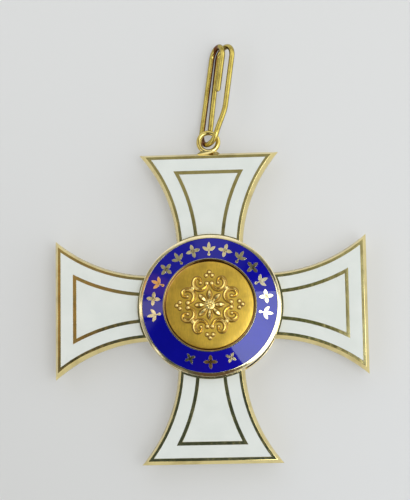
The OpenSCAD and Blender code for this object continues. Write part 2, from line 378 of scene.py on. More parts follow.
@dataclass(frozen=True)
class GoldFinish:
    """Polished gold with light toning, soft waves of hand polishing and fine scratches.

    Attributes:
        name: name of the material.
        bright: colour of clean gold.
        toned: colour where the gold has toned.
        toning_mm: size of the toned clouds.
        toned_from, toned_to: shares of the noise between which the toning sets in; lower gives more.
        gloss: lowest and highest roughness.
        smear_mm, smear_share: size of the smears in the gloss, and the shares between which they set in.
        wave_mm, wave_depth_mm: size and depth of the polishing waves.
        scratch_mm, scratch_depth_mm: width and depth of the fine scratches.
        scratch_turns: their directions.
        fleck: how strongly it is mottled with fine toned flecks.
        fleck_mm, fleck_share: their size, and the shares of the noise between which they set in.
        crevice_shade: colour of the painted shade that is laid in the groove and in the cleft.
        groove_mm, groove_soft_mm: radii of the groove round the centre disc that takes the painted shade, and
            its soft edge.
        cleft_mm, cleft_soft_mm: sides of the cleft between two strands that takes the painted shade, and its
            soft edge.
        flank_shade, flank_share: colour of the painted shade on a wire's flanks, and where on the flanks it
            sets in.
        zones: zones of another colour of gold.
    """

    name: str
    bright: Colour
    toned: Colour
    toning_mm: float = 3.0
    toned_from: float = 0.45
    toned_to: float = 0.72
    gloss: Pair = (0.10, 0.24)
    smear_mm: float = 0.6
    smear_share: Pair = (0.35, 0.7)
    wave_mm: float = 1.8
    wave_depth_mm: float = 0.003
    scratch_mm: float = 0.12
    scratch_depth_mm: float = 0.0004
    scratch_turns: Pair = (20.0, 110.0)
    fleck: float = 0.55
    fleck_mm: float = 0.28
    fleck_share: Pair = (0.52, 0.72)
    crevice_shade: Colour = (0.42, 0.26, 0.09)
    groove_mm: Pair | None = None
    groove_soft_mm: float = 0.07
    cleft_mm: Pair | None = None
    cleft_soft_mm: float = 0.12
    flank_shade: Colour | None = None
    flank_share: Pair = (0.15, 0.8)
    zones: tuple[Zone, ...] = ()

    def material(self) -> bpy.types.Material:
        """Builds the material.

        Returns:
            The new material.
        """
        recipe = Recipe(self.name)
        recipe.fixed(Metallic=1.0)
        toning = recipe.noise(self.toning_mm, detail=5.0, roughness=0.6)
        cloud = recipe.spread(toning, self.toned_from, self.toned_to)
        colour = recipe.blend(cloud, self.bright, self.toned)
        for zone in self.zones:
            colour = zone.paint(recipe, cloud, colour)
        mottle = recipe.noise(self.fleck_mm, detail=4.0, roughness=0.7)
        colour = recipe.blend(recipe.spread(mottle, *self.fleck_share, 0.0, self.fleck), colour, self.toned)
        # Painted shade on a wire's flanks, darker where the wire faces sideways.
        if self.flank_shade:
            sides = recipe.spread(recipe.attribute(FLANK), *self.flank_share)
            colour = recipe.blend(sides, colour, self.flank_shade)
        # Painted shade in the groove round the centre disc.
        if self.groove_mm:
            groove = recipe.band(recipe.radius(), *self.groove_mm, self.groove_soft_mm)
            colour = recipe.blend(groove, colour, self.crevice_shade)
        # Painted shade in the cleft between two strands of the wire.
        if self.cleft_mm:
            cleft = recipe.band(recipe.axis("X", WIRE_SWERVE), *self.cleft_mm, self.cleft_soft_mm)
            colour = recipe.blend(cleft, colour, self.crevice_shade)
        recipe.drive("Base Color", colour)
        smear = recipe.noise(self.smear_mm, detail=6.0, roughness=0.65, squeeze=0.35, turn=30.0)
        recipe.drive("Roughness", recipe.spread(smear, *self.smear_share, *self.gloss))
        recipe.bump(recipe.noise(self.wave_mm, detail=1.0), self.wave_depth_mm)
        for turn in self.scratch_turns:
            scratches = recipe.noise(self.scratch_mm, detail=2.0, squeeze=0.06, turn=turn)
            recipe.bump(scratches, self.scratch_depth_mm)
        return recipe.material


@dataclass(frozen=True)
class SatinFinish:
    """Gold with a fine frosted field and burnished relief above it.

    Attributes:
        name: name of the material.
        field: colour of the frosted field.
        relief: colour of the burnished relief.
        field_z_mm: height of the field's middle.
        fall: how much the domed field falls, in millimetres for each square millimetre of its radius.
        foot_mm, recess_mm: heights over the field between which the painted shade at the relief's foot sets
            in.
        burnished_mm, top_mm: heights over the field between which the burnish sets in.
        recess: colour of the painted shade at the relief's foot.
        shade: share of the field's colour that is left where it is darkest.
        cloud_mm, cloud_share: size of the dark clouds, and the shares between which they set in.
        streak: how dark the streaks of brushing are.
        streak_mm, streak_share: their width, and the shares between which they set in.
        streak_turns: their directions.
        gloss_field, gloss_relief: roughness of the field and of the relief.
        grain_mm, grain_depth_mm: size of the frosting's grain, and its depth.
        wave_mm: size of the soft waves under it.
    """

    name: str
    field: Colour
    relief: Colour
    field_z_mm: float
    fall: float
    foot_mm: float = 0.004
    recess_mm: float = 0.02
    burnished_mm: float = 0.028
    top_mm: float = 0.14
    recess: Colour = (0.22, 0.12, 0.015)
    shade: float = 0.7
    cloud_mm: float = 2.2
    cloud_share: Pair = (0.35, 0.75)
    streak: float = 0.6
    streak_mm: float = 0.16
    streak_share: Pair = (0.5, 0.7)
    streak_turns: Pair = (35.0, -20.0)
    gloss_field: float = 0.42
    gloss_relief: float = 0.2
    grain_mm: float = 0.09
    grain_depth_mm: float = 0.012
    wave_mm: float = 0.8

    def material(self) -> bpy.types.Material:
        """Builds the material.

        Returns:
            The new material.
        """
        recipe = Recipe(self.name)
        recipe.fixed(Metallic=1.0, Coat_Weight=0.6, Coat_Roughness=0.3)
        radius = recipe.radius()
        fallen = recipe.math("MULTIPLY", recipe.math("MULTIPLY", radius, radius), self.fall / MM)
        height = recipe.math("ADD", recipe.axis("Z"), fallen)
        foot, recess, burnished, top = ((self.field_z_mm + rise) * MM for rise in (
            self.foot_mm, self.recess_mm, self.burnished_mm, self.top_mm))
        cloud = recipe.spread(recipe.noise(self.cloud_mm, detail=5.0, roughness=0.6), *self.cloud_share)
        shade = tuple(self.shade * part for part in self.field)
        ground = recipe.blend(cloud, self.field, shade)
        for turn in self.streak_turns:
            streaks = recipe.noise(self.streak_mm, roughness=0.6, squeeze=0.12, turn=turn)
            ground = recipe.blend(recipe.spread(streaks, *self.streak_share, 0.0, self.streak), ground, shade)
        # Painted shade at the relief's foot, laid on the tops of the moats.
        ground = recipe.blend(recipe.spread(height, foot, recess), ground, self.recess)
        recipe.drive("Base Color", recipe.blend(recipe.spread(height, burnished, top), ground, self.relief))
        recipe.drive("Roughness", recipe.spread(height, foot, top, self.gloss_field, self.gloss_relief))
        recipe.bump(recipe.noise(self.grain_mm, roughness=0.6), self.grain_depth_mm)
        recipe.bump(recipe.noise(self.wave_mm, detail=2.0), self.grain_depth_mm)
        return recipe.material


@dataclass(frozen=True)
class EnamelFinish:
    """Fired enamel: glassy over an opaque or sheer ground, faintly wavy, with a few pits.

    Attributes:
        name: name of the material.
        ground: the main colour.
        cloud: a slightly different colour that drifts through it.
        cloud_mm, cloud_share: size of these clouds, and the shares between which they set in.
        gloss: lowest and highest roughness.
        gloss_mm, gloss_share: size of the changes in gloss, and the shares between which they set in.
        wave_mm, wave_depth_mm: size and depth of the surface's waves.
        pit_mm, pit_depth_mm, pit_share: size and depth of the pits, and the shares between which they end.
        index: how strongly the glass bends light.
        sheer: share of the light that comes back from the metal under the enamel.
        ground_blur: roughness of the ground under sheer enamel.
    """

    name: str
    ground: Colour
    cloud: Colour
    cloud_mm: float = 4.0
    cloud_share: Pair = (0.3, 0.75)
    gloss: Pair = (0.02, 0.05)
    gloss_mm: float = 0.7
    gloss_share: Pair = (0.3, 0.7)
    wave_mm: float = 2.6
    wave_depth_mm: float = 0.006
    pit_mm: float = 0.16
    pit_depth_mm: float = 0.004
    pit_share: Pair = (0.14, 0.24)
    index: float = 1.52
    sheer: float = 0.0
    ground_blur: float = 0.4

    def material(self) -> bpy.types.Material:
        """Builds the material; sheer enamel has a glossy coat over its blurred ground.

        Returns:
            The new material.
        """
        recipe = Recipe(self.name)
        recipe.fixed(Metallic=self.sheer, IOR=self.index)
        drift = recipe.spread(recipe.noise(self.cloud_mm, detail=4.0, roughness=0.55), *self.cloud_share)
        recipe.drive("Base Color", recipe.blend(drift, self.ground, self.cloud))
        if self.sheer:
            recipe.fixed(Roughness=self.ground_blur, Specular_IOR_Level=0.0, Coat_Weight=1.0,
                         Coat_Roughness=self.gloss[0], Coat_IOR=self.index)
        else:
            glaze = recipe.noise(self.gloss_mm, detail=4.0)
            recipe.drive("Roughness", recipe.spread(glaze, *self.gloss_share, *self.gloss))
        recipe.bump(recipe.noise(self.wave_mm, detail=1.0), self.wave_depth_mm)
        pits = recipe.noise(self.pit_mm, detail=1.0)
        recipe.bump(recipe.spread(pits, *self.pit_share), self.pit_depth_mm)
        if self.sheer:
            recipe.drive("Coat Normal", recipe.shader.inputs["Normal"].links[0].from_socket)
        return recipe.material


FINISHES = {
    # Frame gold: painted shade in the groove round the centre disc.
    Slot.FRAME: GoldFinish(
        "polished_gold", (0.90, 0.79, 0.50), (0.70, 0.60, 0.34), gloss=(0.06, 0.16), groove_mm=(7.38, 7.66),
        zones=(Zone("radius", 12.2, (0.93, 0.775, 0.345), (0.72, 0.575, 0.225)),
               # Painted shade: the eye at the upper arm's tip is painted in darker, warmer gold.
               Zone("Y", 27.2, (0.76, 0.60, 0.18), (0.46, 0.35, 0.10)))),
    # Wire gold: painted shade in the cleft between two strands and on the wire's flanks.
    Slot.WIRE: GoldFinish(
        "wire_gold", (0.70, 0.56, 0.145), (0.50, 0.38, 0.08), toning_mm=1.6, toned_from=0.4,
        gloss=(0.16, 0.26), wave_depth_mm=0.0004, scratch_depth_mm=0.0001, fleck=0.1,
        crevice_shade=(0.17, 0.06, 0.02), cleft_mm=(-5.02, -4.42), flank_shade=(0.26, 0.19, 0.05)),
    Slot.SATIN: SatinFinish(
        "satin_gold", (0.68, 0.43, 0.045), (0.88, 0.68, 0.24), field_z_mm=6.05,
        fall=DISC_DOME / DISC_FIELD ** 2, gloss_field=0.36, gloss_relief=0.16),
    Slot.WHITE: EnamelFinish("white_enamel", (0.735, 0.762, 0.73), (0.775, 0.798, 0.768)),
    Slot.BLUE: EnamelFinish(
        "blue_enamel", (0.0022, 0.0014, 0.27), (0.003, 0.002, 0.31), cloud_mm=2.4,
        gloss=(0.02, 0.02), wave_depth_mm=0.002, sheer=0.42),
}


def place_object(name: str, data: bpy.types.ID) -> bpy.types.Object:
    """Makes an object of that data and links it to the scene.

    Args:
        name: the object's name.
        data: its mesh, light or camera.

    Returns:
        The new object.
    """
    made = bpy.data.objects.new(name, data)
    bpy.context.scene.collection.objects.link(made)
    return made


def finished_mesh(bm: BMesh, name: str, material: bpy.types.Material) -> bpy.types.Mesh:
    """Turns a bmesh into a mesh of one material.

    Args:
        bm: the bmesh, which is freed.
        name: the mesh's name.
        material: its material.

    Returns:
        The new mesh.
    """
    mesh = bpy.data.meshes.new(name)
    bm.to_mesh(mesh)
    bm.free()
    mesh.materials.append(material)
    return mesh


def keep_order(bm: BMesh) -> None:
    """Sorts edges and faces by their vertices, because spins and bevels leave them in no fixed order.

    Args:
        bm: the mesh.
    """
    bm.verts.index_update()
    for parts in (bm.edges, bm.faces):
        order = sorted(parts, key=lambda part: sorted(v.index for v in part.verts))
        numbers = {part: number for number, part in enumerate(order)}
        parts.sort(key=numbers.get)


class Workshop:
    """Turns finished meshes into pieces, and keeps the material of each slot."""

    def __init__(self) -> None:
        """Builds one material for each slot."""
        self.materials = {slot: finish.material() for slot, finish in FINISHES.items()}

    def piece(self, bm: BMesh, name: str, slot: Slot, body: Body, node: str, crease: float = 32.0) -> None:
        """Closes a mesh drawn in millimetres into a piece that rides on a body.

        Args:
            bm: the mesh, which is freed.
            name: the piece's name.
            slot: the slot of its finish.
            body: the body that it rides on.
            node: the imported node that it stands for.
            crease: edges sharper than this many degrees stay sharp.
        """
        bmesh.ops.recalc_face_normals(bm, faces=bm.faces)
        bmesh.ops.scale(bm, vec=(MM, MM, MM), verts=bm.verts)
        keep_order(bm)
        mesh = finished_mesh(bm, name, self.materials[slot])
        mesh.polygons.foreach_set("use_smooth", [True] * len(mesh.polygons))
        mesh.set_sharp_from_angle(angle=math.radians(crease))
        made = place_object(name, mesh)
        flats = made.modifiers.new("flat_shading", "WEIGHTED_NORMAL")
        flats.keep_sharp = True
        flats.weight = 100
        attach(made, body.value)
        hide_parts(node)
        LOG.info("%s: %d faces", name, len(mesh.polygons))


def full_turn(bm: BMesh, axis: Vector, steps: int) -> None:
    """Spins a section about an axis through the origin into a closed solid.

    Args:
        bm: the mesh, which holds the section alone.
        axis: the axis.
        steps: number of steps of the turn.
    """
    bmesh.ops.spin(bm, geom=list(bm.verts) + list(bm.edges), cent=(0.0, 0.0, 0.0), axis=axis,
                   angle=2 * math.pi, steps=steps, use_merge=True, use_duplicate=False)
    bmesh.ops.remove_doubles(bm, verts=bm.verts, dist=MERGE)


@dataclass(frozen=True)
class Corner:
    """A corner of a turned section: its radius and height, and how much it is rounded."""

    radius: float
    height: float
    rounded: float = 0.0


def turn_section(corners: Sequence[Corner], steps: int, soft_steps: int = 4) -> BMesh:
    """Rounds the corners of a section and spins it about Z into a turned solid.

    Args:
        corners: the section, from the axis out and back to the axis, or a closed ring if it never meets it.
        steps: number of steps of the full turn.
        soft_steps: number of steps of each rounded corner.

    Returns:
        The new mesh.
    """
    bm = bmesh.new()
    made = [bm.verts.new((c.radius, 0.0, c.height)) for c in corners]
    for pair in zip(made, made[1:]):
        bm.edges.new(pair)
    if corners[0].radius:
        bm.edges.new((made[-1], made[0]))
    for corner, vertex in zip(corners, made):
        if corner.rounded:
            bmesh.ops.bevel(bm, geom=[vertex], offset=corner.rounded, offset_type="OFFSET",
                            segments=soft_steps, profile=0.5, affect="VERTICES", material=-1)
    full_turn(bm, UP, steps)
    return bm


def sweep(bm: BMesh, rings: Sequence[Matrix], sides: int) -> None:
    """Bridges a row of circles into a closed tube.

    Args:
        bm: the mesh that takes it.
        rings: for each circle, the matrix that brings a unit circle in XY to its place.
        sides: number of sides of the tube.
    """
    before = None
    for number, matrix in enumerate(rings):
        capped = number in (0, len(rings) - 1)
        ring = bmesh.ops.create_circle(bm, cap_ends=capped, segments=sides, radius=1.0, matrix=matrix)
        edges = list(dict.fromkeys(e for v in ring["verts"] for e in v.link_edges))
        if before is not None:
            bmesh.ops.bridge_loops(bm, edges=before + edges)
        before = edges


def ring_at(place: Vector, ahead: Vector, out: Vector, width: float, height: float) -> Matrix:
    """Gives the matrix of one circle of a tube.

    Args:
        place: the circle's centre.
        ahead: direction of the tube.
        out: direction of the circle's width, square to the tube.
        width: half of its width.
        height: half of its height, square to both.

    Returns:
        The matrix for sweep().
    """
    over = ahead.cross(out).normalized()
    axes = Matrix((out.normalized() * width, over * height, ahead.normalized())).transposed()
    return Matrix.Translation(place) @ axes.to_4x4()


def packed_copy(node: str, near: float = 0.003, sliver: float = 0.001, flat: float = 0.4) -> BMesh:
    """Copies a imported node's mesh in millimetres, merged and with its flat faces made whole.

    Args:
        node: the node's name.
        near: vertices nearer than this become one.
        sliver: edges and faces smaller than this are taken out.
        flat: faces that turn less than this, in degrees, become one.

    Returns:
        The new mesh.
    """
    bm = bmesh.new()
    bm.from_mesh(frame["nodes"][node].data)
    bmesh.ops.scale(bm, vec=(1 / MM, 1 / MM, 1 / MM), verts=bm.verts)
    bmesh.ops.remove_doubles(bm, verts=bm.verts, dist=near)
    bmesh.ops.dissolve_degenerate(bm, dist=sliver, edges=bm.edges)
    bmesh.ops.dissolve_limit(bm, angle_limit=math.radians(flat), verts=bm.verts, edges=bm.edges)
    bm.normal_update()
    return bm


def sharp_edges(bm: BMesh, least: float) -> list[Edge]:
    """Gives the edges whose faces turn by more than that many degrees."""
    return [e for e in bm.edges if e.is_manifold and e.calc_face_angle(0.0) > math.radians(least)]


def round_edges(bm: BMesh, edges: Iterable[Edge], offset: float, steps: int) -> None:
    """Rounds edges over.

    Args:
        bm: the mesh.
        edges: its edges; those that are no longer there are passed over.
        offset: how far from each edge the rounding begins.
        steps: its number of steps.
    """
    bmesh.ops.bevel(bm, geom=[e for e in edges if e.is_valid], offset=offset, offset_type="OFFSET",
                    segments=steps, profile=0.5, affect="EDGES", clamp_overlap=True, material=-1)


def lift(bm: BMesh, height: float) -> None:
    """Moves a whole mesh up."""
    bmesh.ops.translate(bm, vec=(0.0, 0.0, height), verts=bm.verts)


@dataclass
class CrossBody:
    """The gold body: arms with bevelled edges, cells, gold lines and the eye.

    Attributes:
        shop: where its pieces are finished.
        shoulder: rounding between each flat face and its bevels.
        cell_round: rounding of the edges of the cells.
        waist_round: rounding of the edges where the bevels meet the upright sides.
        waist_in: how far from both faces the waist lies at least.
        eye_zone: how far the eye's foot reaches in from the upper arm's tip, and to each side.
        upright: an upright wall's normal rises less than this.
    """

    shop: Workshop
    shoulder: float = 0.05
    cell_round: float = 0.02
    waist_round: float = 0.34
    waist_in: float = 0.9
    eye_zone: Pair = (0.3, 2.6)
    upright: float = 0.2

    def build(self) -> None:
        """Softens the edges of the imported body."""
        low, high = (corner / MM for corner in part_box("cross_frame"))
        bm = packed_copy("cross_frame")
        sharp = sharp_edges(bm, CORNER)
        flat = [e for e in sharp if all(min(v.co.z - low.z, high.z - v.co.z) < LEVEL for v in e.verts)]
        walled = {e for e in flat if min(abs(f.normal.z) for f in e.link_faces) < self.upright}
        cells = [e for e in flat if e in walled]
        shoulders = [e for e in flat if e not in walled]
        waist = [e for e in sharp if self._on_waist(e, low.z, high.z, high.x)]
        round_edges(bm, shoulders, self.shoulder, steps=4)
        round_edges(bm, waist, self.waist_round, steps=5)
        round_edges(bm, cells, self.cell_round, steps=1)
        self.shop.piece(bm, "cross_body", Slot.FRAME, Body.CROSS, "cross_frame")

    def _on_waist(self, edge: Edge, back: float, front: float, tip: float) -> bool:
        """Tells whether an edge runs along the arms between bevel and side, away from the eye.

        Args:
            edge: the edge.
            back: height of the back face.
            front: height of the front face.
            tip: distance of the arms' tips from the middle.

        Returns:
            Whether it does.
        """
        one, other = (v.co for v in edge.verts)
        between = all(back + self.waist_in < end.z < front - self.waist_in for end in (one, other))
        inwards, aside = self.eye_zone
        at_eye = all(end.y > tip - inwards and abs(end.x) < aside for end in (one, other))
        return abs(one.z - other.z) < LEVEL and between and not at_eye


@dataclass
class ArmEnamel:
    """The white enamel of the arms, one band and one panel for each arm and face.

    Attributes:
        shop: where its pieces are finished.
        fill_gap: how far each fill grows to meet the metal round it.
        edge_round: rounding of its polished edge.
    """

    shop: Workshop
    fill_gap: float = 0.03
    edge_round: float = 0.05

    def build(self) -> None:
        """Makes all sixteen fills."""
        for face in Face:
            for kind in ("band", "panel"):
                for arm in Arm:
                    self._fill(face, kind, arm)

    def _fill(self, face: Face, kind: str, arm: Arm) -> None:
        """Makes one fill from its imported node, grown to the metal and rounded along its visible edge.

        Args:
            face: its face of the cross.
            kind: "band" or "panel".
            arm: its arm.
        """
        node = f"{face.value}_{kind}_{arm.value}"
        bm = packed_copy(node)
        grown = [v.co + v.normal * v.calc_shell_factor() * self.fill_gap for v in bm.verts]
        for vertex, place in zip(bm.verts, grown):
            vertex.co = place
        level = (max if face is Face.FRONT else min)(v.co.z for v in bm.verts)
        rim = [e for e in sharp_edges(bm, CORNER) if all(abs(v.co.z - level) < LEVEL for v in e.verts)]
        round_edges(bm, rim, self.edge_round, steps=3)
        self.shop.piece(bm, f"{face.value}_enamel_{kind}_{arm.value}", Slot.WHITE, Body.CROSS, node)


class Stamp:
    """A small closed shape that is built once and pressed into a mesh many times."""

    def __init__(self, bm: BMesh) -> None:
        """Keeps a shape.

        Args:
            bm: the shape as a mesh, which is freed.
        """
        self.mesh = bpy.data.meshes.new("stamp")
        bmesh.ops.recalc_face_normals(bm, faces=bm.faces)
        bm.to_mesh(self.mesh)
        bm.free()

    def press(self, bm: BMesh, matrix: Matrix = STAY) -> None:
        """Adds the shape to a mesh.

        Args:
            bm: the mesh.
            matrix: what brings the shape to its place.
        """
        known = set(bm.verts)
        bm.from_mesh(self.mesh)
        bmesh.ops.transform(bm, matrix=matrix, verts=[v for v in bm.verts if v not in known])

    def clear(self) -> None:
        """Removes the kept shape."""
        bpy.data.meshes.remove(self.mesh)


def leaf_side(length: float, width: float, steps: int) -> BMesh:
    """Spins one side of a pointed leaf: an arc from the origin to the leaf's tip on +Y.

    Args:
        length: length of the leaf.
        width: its greatest width.
        steps: number of steps of the arc.

    Returns:
        The new mesh.
    """
    radius = (length * length + width * width) / (4 * width)
    half_angle = math.asin(min(1.0, length / (2 * radius)))
    bm = bmesh.new()
    foot = bm.verts.new((0.0, 0.0, 0.0))
    bmesh.ops.spin(bm, geom=[foot], cent=(width / 2 - radius, length / 2, 0.0), axis=UP,
                   angle=2 * half_angle, steps=steps, use_merge=False, use_duplicate=False)
    return bm


def flat_leaf(length: float, width: float, deep: float, soft: float) -> Stamp:
    """Makes a leaf-shaped prism from the origin along +Y, with a softened top edge.

    Args:
        length: length of the leaf.
        width: its greatest width.
        deep: how far it reaches down from its top at height 0.
        soft: rounding of the top edge.

    Returns:
        The stamp.
    """
    bm = leaf_side(length, width, steps=9)
    bmesh.ops.mirror(bm, geom=list(bm.verts) + list(bm.edges), matrix=STAY, merge_dist=MERGE, axis="X")
    bmesh.ops.contextual_create(bm, geom=list(bm.edges))
    return _prism(bm, deep, soft)


def flat_disc(radius: float, deep: float, soft: float) -> Stamp:
    """Makes a round prism with a softened top edge.

    Args:
        radius: its radius.
        deep: how far it reaches down from its top at height 0.
        soft: rounding of the top edge.

    Returns:
        The stamp.
    """
    bm = bmesh.new()
    bmesh.ops.create_circle(bm, cap_ends=True, segments=20, radius=radius)
    return _prism(bm, deep, soft)


def sheet(width: float, length: float) -> BMesh:
    """Draws a level sheet about the origin.

    Args:
        width: its width, along X.
        length: its length, along Y.

    Returns:
        The new mesh.
    """
    bm = bmesh.new()
    bmesh.ops.create_grid(bm, x_segments=1, y_segments=1, size=0.5)
    bmesh.ops.scale(bm, vec=(width, length, 1.0), verts=bm.verts)
    return bm


def flat_bar(length: float, width: float, deep: float, soft: float) -> Stamp:
    """Makes a bar from the origin along +Y, with a softened top edge.

    Args:
        length: its length.
        width: its width.
        deep: how far it reaches down from its top at height 0.
        soft: rounding of the top edge.

    Returns:
        The stamp.
    """
    bm = sheet(width, length)
    bmesh.ops.translate(bm, vec=(0.0, length / 2, 0.0), verts=bm.verts)
    return _prism(bm, deep, soft)


def _prism(bm: BMesh, deep: float, soft: float) -> Stamp:
    """Extrudes a flat outline down from height 0 and softens its top edge.

    Args:
        bm: a mesh with one flat face, which is freed.
        deep: depth of the prism.
        soft: rounding of the top edge.

    Returns:
        The stamp.
    """
    down = bmesh.ops.extrude_face_region(bm, geom=list(bm.faces))
    foot = [g for g in down["geom"] if isinstance(g, Vert)]
    bmesh.ops.translate(bm, vec=(0.0, 0.0, -deep), verts=foot)
    top = [e for e in bm.edges if all(v.co.z > -deep / 2 for v in e.verts)]
    if not any(all(v.co.z > -deep / 2 for v in f.verts) for f in bm.faces):
        bmesh.ops.contextual_create(bm, geom=top)
    bmesh.ops.recalc_face_normals(bm, faces=bm.faces)
    round_edges(bm, top, soft, steps=2)
    return Stamp(bm)


def spindle(length: float, width: float, height: float, sides: int) -> Stamp:
    """Makes a pointed leaf body from the origin along +Y: an arc spun about its own chord, then flattened.

    Args:
        length: length of the leaf.
        width: its greatest width.
        height: its full height, half of it above height 0.
        sides: number of sides; six give a ridge along the top.

    Returns:
        The stamp.
    """
    bm = leaf_side(length, width, steps=10)
    full_turn(bm, Vector((0.0, 1.0, 0.0)), sides)
    bmesh.ops.scale(bm, vec=(1.0, 1.0, height / width), verts=bm.verts)
    return Stamp(bm)


def bead(radius: float, height: float) -> Stamp:
    """Makes a bead whose middle is at height 0.

    Args:
        radius: its radius.
        height: height of its top.

    Returns:
        The stamp.
    """
    bm = bmesh.new()
    bmesh.ops.create_uvsphere(bm, u_segments=18, v_segments=10, radius=radius)
    bmesh.ops.scale(bm, vec=(1.0, 1.0, height / radius), verts=bm.verts)
    return Stamp(bm)


@dataclass(frozen=True)
class Plate:
    """The sizes that both medallions share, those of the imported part.

    Attributes:
        radius: outer radius of the rim.
        rim: width of the rim.
        thick: thickness of the plate.
        collar: outer radius of the collar round the disc.
        collar_wall: its wall.
        foot_round: rounding of the plate's foot.
        glaze_round: rounding of the blue ring's edges.
        steps: number of steps of a full turn.
    """

    radius: float = 11.9
    rim: float = 0.6
    thick: float = 0.4
    collar: float = 7.85
    collar_wall: float = 0.28
    foot_round: float = 0.08
    glaze_round: float = 0.06
    steps: int = 160

    @property
    def inner(self) -> float:
        """Inner radius of the rim."""
        return self.radius - self.rim

    @property
    def hole(self) -> float:
        """Inner radius of the collar."""
        return self.collar - self.collar_wall

    def glaze(self, floor: float, at_rim: float, at_collar: float) -> BMesh:
        """Turns the blue ring between rim and collar.

        Args:
            floor: height of the plate that it lies on.
            at_rim: its height at the rim.
            at_collar: its height at the collar.

        Returns:
            The new mesh.
        """
        return turn_section([
            Corner(self.collar, floor), Corner(self.inner, floor),
            Corner(self.inner, at_rim, self.glaze_round), Corner(self.collar, at_collar, self.glaze_round),
        ], steps=self.steps)


@dataclass(frozen=True)
class Motif:
    """The sprig and the floret of the blue ring, drawn about their middles; widths are shares of the size.

    Attributes:
        size: height of a motif.
        deep: how far it reaches down into the enamel.
        soft: rounding of its edges.
        petal, heart: width of a floret's leaves, and radius of its heart.
        leaf: width of a sprig's leaves.
        middle_leaf, side_leaf: their lengths.
        side_turn: angle between the middle leaf and the others.
        fork, foot: how far below the motif's middle the leaves part and the stem ends.
        stem_length, stem, bud: the stem's length and width, and the radius of the bud at its foot.
    """

    size: float = 2.4
    deep: float = 0.5
    soft: float = 0.008
    petal: float = 0.26
    heart: float = 0.15
    leaf: float = 0.24
    middle_leaf: float = 0.66
    side_leaf: float = 0.55
    side_turn: float = 56.0
    fork: float = 0.16
    foot: float = 0.42
    stem_length: float = 0.34
    stem: float = 0.09
    bud: float = 0.1

    def floret(self, scale: float = 1.0) -> list[tuple[Stamp, Matrix]]:
        """Makes the four leaves and the heart of a floret.

        Args:
            scale: its size as a share of a full motif's.

        Returns:
            Each part with its own place.
        """
        size = scale * self.size
        leaf = flat_leaf(size / 2, self.petal * size, self.deep, self.soft)
        heart = flat_disc(self.heart * size, self.deep, self.soft)
        return [(leaf, turned(QUARTER * number)) for number in range(4)] + [(heart, STAY)]

    def sprig(self) -> list[tuple[Stamp, Matrix]]:
        """Makes the three leaves, the stem and the bud of a sprig.

        Returns:
            Each part with its own place.
        """
        fork, foot = (moved(0.0, -place * self.size) for place in (self.fork, self.foot))
        middle, side = (flat_leaf(length * self.size, self.leaf * self.size, self.deep, self.soft)
                        for length in (self.middle_leaf, self.side_leaf))
        stem = flat_bar(self.stem_length * self.size, self.stem * self.size, self.deep, self.soft)
        bud = flat_disc(self.bud * self.size, self.deep, self.soft)
        sides = [(side, fork @ turned(turn)) for turn in (-self.side_turn, self.side_turn)]
        return [(middle, fork), *sides, (stem, foot), (bud, foot)]


